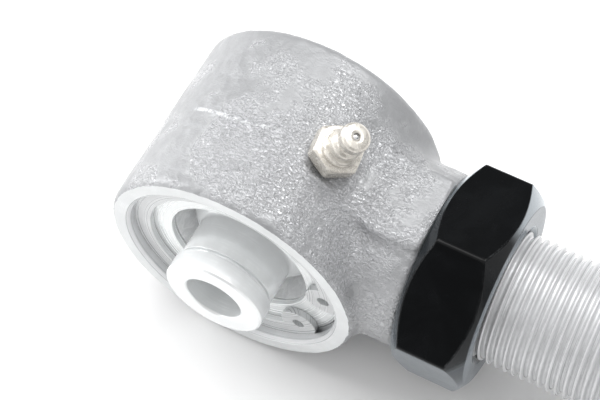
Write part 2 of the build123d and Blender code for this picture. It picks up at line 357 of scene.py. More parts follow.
def hexagon_grid(flats, ridge, low, high, face_r, bore_r, chamfer):
    """(radius rows, station rows, angles) of a hexagon whose ends are turned to round faces."""
    angles = ridge_angles()
    hexagon = np.array([hexagon_radius(a, flats, ridge) for a in angles])
    drop = np.maximum(hexagon - face_r, 0) * math.tan(chamfer)
    flat = np.zeros_like(angles)
    rows = [(flat + bore_r, flat + low), (flat + (bore_r + face_r) / 2, flat + low)]
    rows += [(flat + face_r, flat + low), (hexagon, low + drop)]
    for share in (0.25, 0.5, 0.75):
        rows.append((hexagon, flat + low + share * (high - low)))
    rows += [(hexagon, high - drop), (flat + face_r, flat + high)]
    rows += [(flat + (bore_r + face_r) / 2, flat + high), (flat + bore_r, flat + high)]
    return rows, angles


def grid_of_rows(rows, angles, axis, turn=0.0, closed=True, helix=(0, 0, 0)):
    """Points and faces of rows of (radii, stations) round an axis.

    helix is the first and last row of a thread and how many rows it climbs in a turn.
    """
    across, second, along = (np.array(v) for v in basis(axis))
    spokes = np.cos(angles + turn)[:, None] * across + np.sin(angles + turn)[:, None] * second
    points = [r[:, None] * spokes + s[:, None] * along for r, s in rows]
    count, segments = len(rows), len(angles)
    start, stop, climb = helix

    def next_turn(row):
        return min(max(row + climb, start), stop) if start <= row <= stop and climb else row

    faces = []
    for i in range(count if closed else count - 1):
        j = (i + 1) % count
        for k in range(segments - 1):
            base = (i * segments + k, i * segments + k + 1)
            faces.append((*base, j * segments + k + 1, j * segments + k))
        last = (i * segments + segments - 1, next_turn(i) * segments)
        faces.append((*last, next_turn(j) * segments, j * segments + segments - 1))
    return np.concatenate(points), faces


def helical_rows(low, high, root_r, crest_r, segments, per_turn=10):
    """Rows of a thread that follow its helix, pressed flat at both ends."""
    share = np.arange(per_turn) / per_turn
    rise = np.clip(np.abs(share - 0.5) * 2 * 1.35 - 0.12, 0, 1)
    rise = rise * rise * (3 - 2 * rise)
    angles = np.linspace(0, 2 * math.pi, segments, endpoint=False)
    lead = THREAD_PITCH * angles / (2 * math.pi)
    turns = int((high - low) / THREAD_PITCH) + 2
    rows = []
    for i in range(-per_turn, turns * per_turn):
        station = low + THREAD_PITCH * i / per_turn + lead
        radius = crest_r + (root_r - crest_r) * rise[i % per_turn]
        rows.append((np.full(segments, radius), np.clip(station, low, high)))
    return rows, angles


# ================================================================ finishes
class Finish:
    """A node material being built, with short ways to add its layers."""

    def __init__(self, name):
        self.material = bpy.data.materials.new(name)
        self.material.use_nodes = True
        tree = self.material.node_tree
        self.nodes, self.links = tree.nodes, tree.links
        self.shader = self.nodes["Principled BSDF"]
        self.place = self.add("ShaderNodeTexCoord").outputs["Object"]

    def add(self, kind, values=None, **settings):
        """A new node with its settings, and its inputs each a fixed value or a socket."""
        node = self.nodes.new(kind)
        for key, value in settings.items():
            setattr(node, key, value)
        for key, value in (values or {}).items():
            if isinstance(value, bpy.types.NodeSocket):
                self.links.new(value, node.inputs[key])
            else:
                node.inputs[key].default_value = value
        return node

    def feed(self, source, name):
        """Joins a source to one of the shader's sockets."""
        self.links.new(source, self.shader.inputs[name])

    def fixed(self, **values):
        """Constants on the shader's own sockets, such as metallic=1."""
        for key, value in values.items():
            self.shader.inputs[key.replace("_", " ")].default_value = value

    def stretched_place(self, scales):
        """The place on the piece, with its x, y and z multiplied by scales to a millimetre."""
        scales = [1000 * scale for scale in scales]
        return self.add("ShaderNodeMapping", {"Vector": self.place, "Scale": scales}).outputs["Vector"]

    def grain(self, per_mm, detail=4.0, roughness=0.55, distortion=0.0, stretch=(1, 1, 1)):
        """Noise with so many features to a millimetre, stretched along x, y or z."""
        values = {
            "Vector": self.stretched_place([per_mm * s for s in stretch]),
            "Scale": 1.0,
            "Detail": detail,
            "Roughness": roughness,
            "Distortion": distortion,
        }
        return self.add("ShaderNodeTexNoise", values).outputs["Fac"]

    def ridges(self, per_mm, softness):
        """Rounded pebbles with creases between them, so many to a millimetre."""
        values = {"Vector": self.stretched_place([per_mm] * 3), "Scale": 1.0, "Smoothness": softness}
        return self.add("ShaderNodeTexVoronoi", values, feature="SMOOTH_F1").outputs["Distance"]

    def vector_sum(self, operation, first, second=(0, 0, 0), result="Value"):
        """A vector operation on two vectors, each fixed or a socket."""
        node = self.add("ShaderNodeVectorMath", {0: first, 1: second}, operation=operation)
        return node.outputs[result]

    def sum_of(self, first, operation, second=0):
        """A number operation on two numbers, the second fixed or a socket."""
        return self.add("ShaderNodeMath", {0: first, 1: second}, operation=operation).outputs["Value"]

    def from_axis(self, axis):
        """Distance in millimetres from the line through the origin along an axis."""
        axis = Vector(axis).normalized()
        across = self.vector_sum("CROSS_PRODUCT", self.place, axis, "Vector")
        return self.sum_of(self.vector_sum("LENGTH", across), "MULTIPLY", 1000)

    def distance_from(self, point):
        """Distance in millimetres from a point."""
        return self.sum_of(self.vector_sum("DISTANCE", self.place, point), "MULTIPLY", 1000)

    def along_axis(self, axis):
        """Station in millimetres along an axis through the origin."""
        axis = Vector(axis).normalized()
        return self.sum_of(self.vector_sum("DOT_PRODUCT", self.place, axis), "MULTIPLY", 1000)

    def turning_lines(self, axis, per_mm, along=0.7):
        """Fine lines left by a lathe tool, rings about an axis."""
        station = self.sum_of(self.along_axis(axis), "MULTIPLY", along)
        place = self.sum_of(self.from_axis(axis), "ADD", station)
        values = {"W": place, "Scale": per_mm, "Detail": 3.0}
        return self.add("ShaderNodeTexNoise", values, noise_dimensions="1D").outputs["Fac"]

    def ranged(self, source, low, high, to_low=0.0, to_high=1.0):
        """A source's low to high stretched to a new range, with soft ends."""
        values = {"From Min": low, "From Max": high, "To Min": to_low, "To Max": to_high}
        values["Value"] = source
        node = self.add("ShaderNodeMapRange", values, interpolation_type="SMOOTHSTEP")
        return node.outputs["Result"]

    def worn_edges(self, radius):
        """Bright where the surface turns over an edge, from its bevelled and true normals."""
        bevel = self.add("ShaderNodeBevel", {"Radius": radius}, samples=4).outputs["Normal"]
        true = self.add("ShaderNodeNewGeometry").outputs["Normal"]
        return self.ranged(self.vector_sum("DOT_PRODUCT", bevel, true), 0.97, 0.85)

    def chamfer_faces(self):
        """1 on faces that lean between a flat side and an end face along x, 0 elsewhere."""
        normal = self.add("ShaderNodeTexCoord").outputs["Normal"]
        lean = self.sum_of(self.vector_sum("DOT_PRODUCT", normal, (1, 0, 0)), "ABSOLUTE")
        return self.sum_of(self.ranged(lean, 0.35, 0.5), "SUBTRACT", self.ranged(lean, 0.9, 0.96))

    def tint(self, factor, first, second):
        """A colour between two, each a fixed colour or a socket."""
        mix = self.add("ShaderNodeMix", {0: factor}, data_type="RGBA")
        for key, value in (("A", first), ("B", second)):
            target = [s for s in mix.inputs if s.name == key and s.type == "RGBA"][0]
            if isinstance(value, bpy.types.NodeSocket):
                self.links.new(value, target)
            else:
                target.default_value = value
        return [s for s in mix.outputs if s.type == "RGBA"][0]

    def colour(self, source):
        self.feed(source, "Base Color")

    def roughness(self, source, low, high):
        self.feed(self.ranged(source, 0.25, 0.75, low, high), "Roughness")

    def relief(self, *layers):
        """Bumps from (height source, height in metres) layers, coarse first."""
        below = {}
        for source, height in layers:
            values = {"Strength": 1.0, "Distance": height, "Height": source, **below}
            below = {"Normal": self.add("ShaderNodeBump", values).outputs["Normal"]}
        self.feed(below["Normal"], "Normal")


def scaled(colour, factor):
    """A colour made lighter or darker."""
    return (*(min(1.0, c * factor) for c in tuple(colour)[:3]), 1.0)


def forged_skin(colour):
    """Forging skin: wrinkled scale round the grease fitting, smoother drawn areas, a flash line, and
    painted highlights on the scale and the flash line.
    """
    skin = Finish("forged skin")
    off_fitting = skin.distance_from(FITTING_DIR * FITTING_FOOT + Vector((5, -8, -2)) * MM)
    near_fitting = skin.ranged(off_fitting, 12.0, 40.0, 0.15, -0.05)
    patches = skin.ranged(skin.sum_of(skin.grain(0.07, 3.0, 0.6), "ADD", near_fitting), 0.40, 0.68)
    worms = skin.ranged(skin.grain(1.3, 3.0, 0.6, 0.9, (0.7, 1.3, 1.0)), 0.34, 0.66)
    cells = skin.ranged(skin.ridges(1.55, 0.6), 0.05, 0.55)
    wrinkles = skin.sum_of(cells, "MULTIPLY", skin.ranged(patches, 0.0, 1.0, 0.05, 1.0))
    creases = skin.grain(0.22, 5.0, 0.62, 1.4, (1.0, 0.5, 1.0))
    fine = skin.grain(4.5, 3.0, 0.6)
    pebbles = skin.sum_of(worms, "MULTIPLY", skin.ranged(patches, 0.0, 1.0, 0.16, 1.0))
    # The smooth areas are darker and the scale's pebbles lighter towards their crests, and the scale
    # gathers round the grease fitting: partly the scale's own tone, partly a painted sparkle highlight.
    mottle = skin.tint(skin.ranged(creases, 0.35, 0.65), scaled(colour, 0.84), scaled(colour, 0.92))
    scale_with_painted_sparkle = skin.tint(skin.ranged(pebbles, 0.3, 0.95), scaled(colour, 1.12), scaled(colour, 1.42))
    pitted_with_painted_sparkle = skin.tint(skin.ranged(patches, 0.0, 0.8), mottle, scale_with_painted_sparkle)
    worn_with_painted_sparkle = skin.tint(skin.worn_edges(0.5 * MM), pitted_with_painted_sparkle, scaled(colour, 1.5))
    # From here the flash line over the top of the eye is lightened: a painted highlight along its ridge.
    along = skin.along_axis((1, 0, 0))
    slow = skin.sum_of(skin.sum_of(skin.sum_of(along, "MULTIPLY", 0.21), "SINE"), "MULTIPLY", 0.7)
    off_line = skin.sum_of(skin.sum_of(skin.along_axis((0, 1, 0)), "ADD", 2.1), "SUBTRACT", slow)
    line = skin.ranged(skin.sum_of(off_line, "ABSOLUTE"), 0.75, 0.15)
    for limit in (
        skin.ranged(along, -23.0, -17.0),
        skin.ranged(along, 8.0, -4.0),
        skin.ranged(skin.along_axis((0, 0, 1)), 20.0, 25.0),
        skin.ranged(skin.grain(1.1), 0.38, 0.58),
    ):
        line = skin.sum_of(line, "MULTIPLY", limit)
    # The skin's colour with the flash line's painted highlight laid over it.
    skin.colour(skin.tint(line, worn_with_painted_sparkle, scaled(colour, 2.0)))
    skin.feed(skin.ranged(patches, 0.0, 0.7, 0.44, 0.17), "Roughness")
    skin.relief((creases, 0.05 * MM), (wrinkles, 0.14 * MM), (pebbles, 0.17 * MM), (fine, 0.010 * MM))
    skin.fixed(Metallic=0.25, Specular_IOR_Level=0.9, Coat_Weight=0.08, Coat_Roughness=0.2)
    return skin.material


def turned_steel(name, colour, axis, rough, per_mm=5.0, metallic=0.9, line=0.003, wear=1.2):
    """Turned or ground metal with fine rings, faint stains and brighter edges."""
    steel = Finish(name)
    lines = steel.turning_lines(axis, per_mm)
    stain = steel.grain(0.14, 4.0, 0.6, 0.8)
    smooth = steel.tint(steel.ranged(stain, 0.35, 0.7), scaled(colour, 0.93), scaled(colour, 1.05))
    ringed = steel.tint(steel.ranged(lines, 0.3, 0.7), scaled(colour, 0.94), smooth)
    steel.colour(steel.tint(steel.worn_edges(0.25 * MM), ringed, scaled(colour, wear)))
    steel.roughness(lines, rough * 0.8, rough * 1.35)
    steel.relief((lines, line * MM), (steel.grain(7.0), 0.001 * MM))
    steel.fixed(Metallic=metallic, Anisotropic=0.35)
    return steel.material


def race_polymer():
    """Self-lubricating race liner with flow marks and rubbed edges."""
    polymer = Finish("race polymer")
    flow = polymer.grain(0.4, 4.0, 0.6, 1.5)
    colour = polymer.tint(polymer.ranged(flow, 0.35, 0.7), (0.60, 0.605, 0.61, 1), (0.74, 0.745, 0.75, 1))
    rubbed = polymer.tint(polymer.worn_edges(0.3 * MM), colour, (0.82, 0.82, 0.83, 1))
    polymer.colour(rubbed)
    polymer.roughness(flow, 0.38, 0.55)
    polymer.relief((polymer.turning_lines((0, 1, 0), 3.0), 0.008 * MM), (polymer.grain(5.0), 0.004 * MM))
    return polymer.material


def black_oxide(colour):
    """Oiled black oxide on machined flats, with a painted highlight along the ridges where steel also
    shows, and painted reflections on the far chamfers and the low front side.
    """
    black = Finish("nut black oxide")
    cloud = black.grain(0.10, 4.0, 0.6, 0.9)
    speck = black.grain(3.2, 3.0, 0.7)
    smooth = black.tint(black.ranged(cloud, 0.35, 0.7), scaled(colour, 0.8), scaled(colour, 1.6))
    specked = black.tint(black.ranged(speck, 0.66, 0.80), smooth, (0.008, 0.009, 0.010, 1))
    # Patches along the ridges turn pale steel: partly rubbed steel, partly a painted highlight on the
    # ridges.
    patchy = black.ranged(black.grain(0.5), 0.36, 0.56)
    rubbed = black.sum_of(black.worn_edges(0.55 * MM), "MULTIPLY", patchy)
    # The chamfers on the far side are tinted pale and made metallic: a painted reflection.
    far_side = black.ranged(black.along_axis((0, 1, 0)), 0.0, 8.0)
    chamfer_painted_reflection = black.sum_of(black.chamfer_faces(), "MULTIPLY", far_side)
    # The low front side is tinted lighter and made metallic: a painted reflection of the floor.
    low_side_painted_reflection = black.sum_of(
        black.ranged(black.along_axis((0, 0, -1)), -6.0, -3.5),
        "MULTIPLY",
        black.ranged(black.along_axis((0, -1, 0)), 12.0, 18.0),
    )
    # The painted reflections of the far chamfers and the low front side, as one mask and as colour.
    painted_reflection_mask = black.sum_of(chamfer_painted_reflection, "MAXIMUM", low_side_painted_reflection)
    with_painted_reflections = black.tint(chamfer_painted_reflection, specked, (0.28, 0.305, 0.325, 1))
    with_painted_reflections = black.tint(low_side_painted_reflection, with_painted_reflections, (0.075, 0.083, 0.09, 1))
    black.colour(black.tint(rubbed, with_painted_reflections, (0.62, 0.65, 0.67, 1)))
    # Metallic follows the painted reflections.
    black.feed(black.ranged(painted_reflection_mask, 0.0, 1.0, 0.0, 0.8), "Metallic")
    black.roughness(cloud, 0.11, 0.19)
    rings = black.turning_lines((1, 0, 0), 3.0, 0.0)
    black.relief((cloud, 0.03 * MM), (rings, 0.004 * MM), (speck, 0.006 * MM))
    black.fixed(Specular_IOR_Level=0.14, Sheen_Weight=0.28, Sheen_Roughness=0.35)
    black.fixed(Sheen_Tint=(0.72, 0.84, 0.95, 1.0))
    return black.material


def yellow_zinc():
    """Pale yellow zinc plating on the grease fitting."""
    zinc = Finish("fitting zinc")
    cloud = zinc.grain(0.6, 4.0, 0.6, 0.8)
    warm = zinc.tint(zinc.ranged(cloud, 0.35, 0.7), (0.60, 0.57, 0.52, 1), (0.74, 0.71, 0.655, 1))
    zinc.colour(zinc.tint(zinc.worn_edges(0.2 * MM), warm, (0.97, 0.95, 0.91, 1)))
    zinc.roughness(cloud, 0.20, 0.36)
    zinc.relief((zinc.turning_lines(FITTING_DIR, 6.0), 0.001 * MM), (zinc.grain(3.0), 0.0012 * MM))
    zinc.fixed(Metallic=0.6)
    return zinc.material


def spring_wire():
    """Phosphated spring steel with drawn specks."""
    wire = Finish("spring steel")
    cloud = wire.grain(1.2, 4.0, 0.6, 0.6)
    grey = wire.tint(wire.ranged(cloud, 0.35, 0.7), (0.33, 0.335, 0.34, 1), (0.45, 0.455, 0.46, 1))
    wire.colour(wire.tint(wire.worn_edges(0.2 * MM), grey, (0.66, 0.66, 0.67, 1)))
    wire.roughness(cloud, 0.30, 0.45)
    wire.relief((cloud, 0.02 * MM), (wire.grain(7.0), 0.003 * MM))
    wire.fixed(Metallic=0.8)
    return wire.material


# ================================================================ forged housing
def smooth_union(first, second, width):
    """The union of two distance fields with a fillet of about that width."""
    share = np.clip(0.5 + 0.5 * (second - first) / width, 0, 1)
    return second * (1 - share) + first * share - width * share * (1 - share)


def box_distance(offsets, halves, rounding):
    """Distance from a rounded box, from offsets from its centre and its half sizes."""
    inner = np.abs(offsets) - (np.array(halves) - rounding)
    outside = np.linalg.norm(np.maximum(inner, 0), axis=1)
    return outside + np.minimum(inner.max(axis=1), 0) - rounding


def forging_distance(points, blend):
    """Distance in metres from the forging's skin, before machining."""
    x, y, z = points.T
    radial = np.hypot(x, z)
    eye = box_distance(np.column_stack((radial, y)), (EYE_R, EYE_HALF + 0.55 * MM), 2.4 * MM)
    reach = NECK_BLANK / 2
    around = np.hypot(y, z) - 1.0 * MM * np.clip(z / NECK_R, 0, 1)
    neck = box_distance(np.column_stack((around, x - reach)), (NECK_R, reach), 1.8 * MM)
    flare = np.clip((31 * MM - x) / (14 * MM), 0, 1) ** 1.6
    near = -RIB_HALF - 0.5 * MM + 1.6 * MM * flare
    far = RIB_HALF + 1.0 * MM + 7.0 * MM * flare
    centre, half = (near + far) / 2, (far - near) / 2
    offsets = np.column_stack((x - 18 * MM, (y - centre) / half * RIB_HALF, z - RIB_TOP / 2))
    rib = box_distance(offsets, (NECK_BLANK - 18 * MM, RIB_HALF, RIB_TOP / 2), 1.7 * MM)
    shank_side = smooth_union(neck, rib, 1.0 * MM)
    return smooth_union(eye, shank_side, blend)


def settle_on(points, blend, rounds=6):
    """Moves points onto the forging's skin, and returns them with their normals."""
    step = 0.02 * MM
    slope = None
    for _ in range(rounds):
        here = forging_distance(points, blend)
        slope = np.column_stack(
            [
                forging_distance(points + step * np.eye(3)[k], blend)
                - forging_distance(points - step * np.eye(3)[k], blend)
                for k in range(3)
            ]
        )
        slope /= 2 * step
        size = np.maximum((slope**2).sum(axis=1), 0.2)
        points = points - slope * (here / size)[:, None]
    return points, slope / np.linalg.norm(slope, axis=1)[:, None]


def ramp(value, start, run):
    """0 to 1 as a value passes start, over a run."""
    return np.clip((value - start) / run, 0, 1)


def ridge_line(offset, width):
    """1 on a line, falling off with the offset from it."""
    return np.exp(-((offset / width) ** 2))


def forge_marks(points, settings):
    """Heights of the scale, dents and flash over the skin."""
    heights = np.zeros(len(points))
    for i, point in enumerate(points):
        place = Vector(point * 1000)
        patch = noise.noise(place * 0.055 + Vector((3.1, 8.7, 1.9)))
        rough = noise.fractal(place * 0.42, 1.0, 2.0, 3)
        dent = noise.fractal(place * 0.085, 1.0, 2.0, 3)
        strength = 0.35 + 0.65 * min(1.0, max(0.0, 0.5 + 2.2 * patch))
        heights[i] = settings.scale_height * (rough * strength + 0.8 * dent)
    # the flash: a ragged line over the eye, a short second one, and one down each side of the rib
    x, y, z = (points * 1000).T
    lean = np.degrees(np.arctan2(x, z))
    wander = 0.7 * np.sin(x * 0.21) + 0.4 * np.sin(x * 0.63 + 1.3)
    ragged = 0.75 + 0.35 * np.sin(x * 2.1) * np.sin(x * 0.83 + 0.6)
    main = ragged * ridge_line(y + 2 - wander, 0.6) * ramp(lean, -40, 24) * ramp(-lean, -14, 10)
    second = ridge_line(y + 10 - wander, 0.7) * ramp(lean, -27, 8) * ramp(-lean, 9, 8)
    beside_x = ramp(x, 9, 5) * ramp(-x, -NECK_END / MM - 1, 4)
    near = ridge_line(y + 7.0 + (x - 9) * 0.11 + 0.8 * wander, 0.9) * beside_x
    far = ridge_line(y - 15.5 + (x - 9) * 0.2 - 0.6 * wander, 1.0) * beside_x
    eye = ramp(z, 24, 5) * (main + 0.5 * second)
    rib = ramp(z, 16, 4) * (near + 0.8 * far)
    return heights + settings.flash_height * (eye + 1.1 * rib)


def closed_cut(mesh, place, direction):
    """Cuts a closed mesh with a plane and fills the cut."""
    geometry = mesh.verts[:] + mesh.edges[:] + mesh.faces[:]
    cut = bmesh.ops.bisect_plane(
        mesh, geom=geometry, plane_co=place, plane_no=direction, clear_outer=True, dist=1e-7
    )
    rim = [e for e in cut["geom_cut"] if isinstance(e, bmesh.types.BMEdge)]
    filled = bmesh.ops.edgeloop_fill(mesh, edges=rim)["faces"]
    bmesh.ops.triangulate(mesh, faces=filled)


def cutter(name, outline, axis, segments):
    """A closed turned solid that cuts another and is then thrown away."""
    points, faces = turned_grid(outline, axis, segments, closed=False)
    count = len(outline)
    faces.append(tuple(range(segments)))
    faces.append(tuple((count - 1) * segments + k for k in range(segments)))
    mesh = bpy.data.meshes.new(name)
    mesh.from_pydata([tuple(p) for p in points], [], faces)
    with edited(mesh) as tool:
        bmesh.ops.recalc_face_normals(tool, faces=tool.faces)
        bmesh.ops.triangulate(tool, faces=[f for f in tool.faces if len(f.verts) > 4])
    return in_scene(name, mesh)


def cut_away(piece, tools):
    """Takes cutters' solids out of a piece and removes the cutters."""
    for tool in tools:
        cut = piece.modifiers.new("cut", "BOOLEAN")
        cut.operation = "DIFFERENCE"
        cut.solver = "MANIFOLD"
        cut.object = tool
    fixed = bpy.data.meshes.new_from_object(
        piece.evaluated_get(bpy.context.evaluated_depsgraph_get())
    )
    piece.modifiers.clear()
    old = piece.data
    piece.data = fixed
    bpy.data.meshes.remove(old)
    for tool in tools:
        bpy.data.objects.remove(tool)


def eye_bore_outline():
    """The bore's outline as (radius, station along the bolt axis), from open end to lip."""
    groove_low = -RING_OUTER_Y - RING_PLAY
    groove_high = -RING_INNER_Y + RING_PLAY
    return [
        (BORE_R + 1.0 * MM, -EYE_HALF - 1 * MM),
        (BORE_R + 0.9 * MM, -EYE_HALF),
        (BORE_R + 0.5 * MM, -EYE_HALF + 0.35 * MM),
        (BORE_R, -EYE_HALF + 0.8 * MM),
        (BORE_R, groove_low),
        (RING_GROOVE_R, groove_low),
        (RING_GROOVE_R, groove_high),
        (BORE_R, groove_high),
        (BORE_R, WASHER_OUTER_Y),
        (LIP_HOLE_R, WASHER_OUTER_Y),
        (LIP_HOLE_R + 0.25 * MM, WASHER_OUTER_Y + 0.4 * MM),
        (LIP_MOUTH_R - 0.5 * MM, EYE_HALF - 0.7 * MM),
        (LIP_MOUTH_R + 0.3 * MM, EYE_HALF),
        (LIP_MOUTH_R + 0.3 * MM, EYE_HALF + 1 * MM),
    ]


def rough_forging():
    """Overlapping eye, neck and rib that the skin is drawn from."""
    blank = bmesh.new()
    turn_y = Matrix.Rotation(math.pi / 2, 4, "X")
    turn_x = Matrix.Rotation(math.pi / 2, 4, "Y") @ Matrix.Translation((0, 0, NECK_BLANK / 2))
    for radius, depth, turn in ((EYE_R, 2 * EYE_HALF, turn_y), (NECK_R, NECK_BLANK, turn_x)):
        bmesh.ops.create_cone(
            blank,
            cap_ends=True,
            segments=128,
            radius1=radius,
            radius2=radius,
            depth=depth,
            matrix=turn,
        )
    rib = Matrix.Translation((NECK_BLANK / 2, 0, RIB_TOP / 2))
    rib = rib @ Matrix.Diagonal((NECK_BLANK, 2 * RIB_HALF + 1 * MM, RIB_TOP, 1))
    bmesh.ops.create_cube(blank, size=1.0, matrix=rib)
    return blank


class RODEND_OT_forged_housing(bpy.types.Operator):
    """Forges the eye, neck and rib as one skin, machines them, and threads the shank"""

    bl_idname = "rodend.forged_housing"
    bl_label = "Forged housing"

    def execute(self, context):
        settings = context.scene.rodend_forging
        skin = forged_skin(settings.colour)
        faced = turned_steel("machined rim", (0.73, 0.745, 0.75, 1), (0, 1, 0), 0.36, 3.0, 0.30)
        bored = turned_steel("machined bore", (0.68, 0.69, 0.70, 1), (0, 1, 0), 0.34, 3.0, 0.3, 0.0012)
        threaded = turned_steel("rolled thread", (0.62, 0.625, 0.635, 1), (1, 0, 0), 0.30, 4.0, 0.30)
        blank = rough_forging()
        mesh = bpy.data.meshes.new("eye_and_neck")
        blank.to_mesh(mesh)
        blank.free()
        piece = in_scene("eye_and_neck", mesh)
        remesh = piece.modifiers.new("skin", "REMESH")
        remesh.mode = "VOXEL"
        remesh.voxel_size = settings.voxel
        drawn = bpy.data.meshes.new_from_object(
            piece.evaluated_get(context.evaluated_depsgraph_get())
        )
        piece.modifiers.clear()
        piece.data = drawn
        points = np.zeros(len(drawn.vertices) * 3)
        drawn.vertices.foreach_get("co", points)
        points, normals = settle_on(points.reshape(-1, 3), settings.blend)
        points += normals * forge_marks(points, settings)[:, None]
        drawn.vertices.foreach_set("co", points.ravel())
        with edited(drawn) as work:
            closed_cut(work, (0, EYE_HALF, 0), (0, 1, 0))
            closed_cut(work, (0, -EYE_HALF, 0), (0, -1, 0))
            closed_cut(work, (NECK_END, 0, 0), (1, 0, 0))
            bmesh.ops.recalc_face_normals(work, faces=work.faces)
        bore = cutter("bore tool", eye_bore_outline(), (0, 1, 0), 160)
        spot_low, spot_high = EYE_R - 0.3 * MM, EYE_R + 3 * MM
        spot = [(6.8 * MM, spot_low), (6.8 * MM, spot_high)]
        hole = [(5.1 * MM, 20 * MM), (5.1 * MM, spot_low + 1 * MM)]
        cut_away(
            piece,
            [
                bore,
                cutter("spot tool", spot, FITTING_DIR, 64),
                cutter("tap tool", hole, FITTING_DIR, 48),
            ],
        )
        finish_by_place(piece, [skin, faced, bored])
        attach(piece, "housing")
        shank = threaded_shank(threaded)
        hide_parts("forged_housing")
        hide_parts("forged_housing")
        return {"FINISHED"}


def finish_by_place(piece, materials):
    """Gives each face of the housing the finish of its machining, and sharpens the joins."""
    mesh = piece.data
    mesh.materials.clear()
    for material in materials:
        mesh.materials.append(material)
    count = len(mesh.polygons)
    centres, normals = np.zeros(count * 3), np.zeros(count * 3)
    mesh.polygons.foreach_get("center", centres)
    mesh.polygons.foreach_get("normal", normals)
    centres, normals = centres.reshape(-1, 3), normals.reshape(-1, 3)
    x, y, z = centres.T
    radial = np.hypot(x, z)
    kind = np.zeros(count, np.int32)
    kind[(np.abs(y) > EYE_HALF - 0.02 * MM) & (np.abs(normals[:, 1]) > 0.9)] = 1
    kind[(x > NECK_END - 0.02 * MM) & (normals[:, 0] > 0.9)] = 1
    kind[(radial < RING_GROOVE_R + 0.1 * MM) & (kind == 0) & (np.abs(y) < EYE_HALF)] = 2
    mesh.polygons.foreach_set("material_index", kind)
    mesh.shade_smooth()
    with edited(mesh) as work:
        for edge in work.edges:
            if len(edge.link_faces) == 2:
                first, second = (face.material_index for face in edge.link_faces)
                skin_only = first == second == 0
                gentle = skin_only or edge.calc_face_angle(0) < math.radians(24)
                edge.smooth = gentle and first == second


def threaded_shank(material):
    """The shank: a helical thread from the shoulder to a chamfered tip."""
    low = NECK_END - 0.4 * MM
    first, last = NECK_END + 2.0 * MM, SHANK_END
    rows, angles = helical_rows(first, last, THREAD_ROOT_R, THREAD_R, 120)
    tip = []
    for radius, station in rows:
        limit = THREAD_TIP_R + (SHANK_END - station)
        tip.append((np.minimum(radius, limit), station))
    flat = 0 * angles
    start = [(flat + 1 * MM, flat + low), (flat + THREAD_R - 0.3 * MM, flat + low)]
    start.append((flat + THREAD_R - 0.3 * MM, flat + first - 0.6 * MM))
    run_out = (flat + THREAD_TIP_R, flat + SHANK_END)
    end = [run_out, (flat + 8 * MM, flat + SHANK_END), (flat + 1 * MM, flat + SHANK_END)]
    helix = (len(start), len(start) + len(tip) - 1, 10)
    points, faces = grid_of_rows(start + tip + end, angles, (1, 0, 0), helix=helix)
    piece = mesh_piece("threaded_shank", points, faces, material, "housing")
    face_outward(piece)
    return piece


# ================================================================ bearing
class RODEND_OT_ball(bpy.types.Operator):
    """Turns the ball with its necks, undercuts and end collars"""

    bl_idname = "rodend.ball"
    bl_label = "Ball"

    def execute(self, context):
        settings = context.scene.rodend_bearing
        steel = turned_steel("polished ball steel", settings.ball_colour, (0, 1, 0), 0.18, 2.5, 0.34)
        blend = BALL_NECK_BLEND
        centre_r = BALL_NECK_R + blend
        centre_y = math.sqrt((SPHERE_R + blend) ** 2 - centre_r**2)
        lean = math.asin(centre_r / (SPHERE_R + blend))
        half = arc_points(SPHERE_R, math.pi / 2, lean, 26)
        for share in np.linspace(0, 1, 9)[1:]:
            angle = lean + (math.pi / 2 - lean) * share
            half.append((centre_r - blend * math.sin(angle), centre_y - blend * math.cos(angle)))
        collar = BALL_HALF - COLLAR_LENGTH
        edge = settings.edge
        corners = [
            (BALL_NECK_R, half[-1][1], 0),
            (BALL_NECK_R, collar - UNDERCUT_WIDTH, 0.15 * MM),
            (UNDERCUT_R, collar - UNDERCUT_WIDTH, 0.3 * MM),
            (UNDERCUT_R, collar, 0.3 * MM),
            (COLLAR_R, collar, edge),
            (COLLAR_R, BALL_HALF - 0.5 * MM, edge),
            (COLLAR_R - 0.5 * MM, BALL_HALF, edge),
            (BOLT_HOLE_R + 0.35 * MM, BALL_HALF, 0.1 * MM),
            (BOLT_HOLE_R, BALL_HALF - 0.35 * MM, 0.1 * MM),
            (BOLT_HOLE_R, 0, 0),
        ]
        half += [tuple(p) for p in rounded_outline(corners, closed=False)][1:]
        other = [(r, -y) for r, y in reversed(half)]
        outline = half + other[1:-1]
        piece = turned_piece("swivel_ball", outline, (0, 1, 0), steel, "ball", 180)
        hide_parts("ball")
        return {"FINISHED"}


class RODEND_OT_races(bpy.types.Operator):
    """Moulds the two race liners round the ball"""

    bl_idname = "rodend.races"
    bl_label = "Races"

    def execute(self, context):
        edge = context.scene.rodend_bearing.edge
        inner = SPHERE_R + RUNNING_CLEARANCE
        polymer = race_polymer()
        throat = math.asin(RACE_THROAT_R / inner)
        start = math.acos(RACE_INNER_Y / inner)
        seat = arc_points(inner, start, throat, 20)
        for name, side in (("front", -1), ("back", 1)):
            outer = [
                (RACE_THROAT_R, seat[-1][1], 0),
                (RACE_MOUTH_R, RACE_OUTER_Y, edge),
                (RACE_R, RACE_OUTER_Y, edge),
                (RACE_R, RACE_INNER_Y, edge),
                (seat[0][0], RACE_INNER_Y, 0),
            ]
            outline = seat + [tuple(p) for p in rounded_outline(outer, closed=False)][1:-1]
            outline = [(r, side * y) for r, y in outline]
            piece = turned_piece(
                f"race_liner_{name}", outline, (0, 1, 0), polymer, "races", 128
            )
            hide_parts(f"race_{name}")
        return {"FINISHED"}


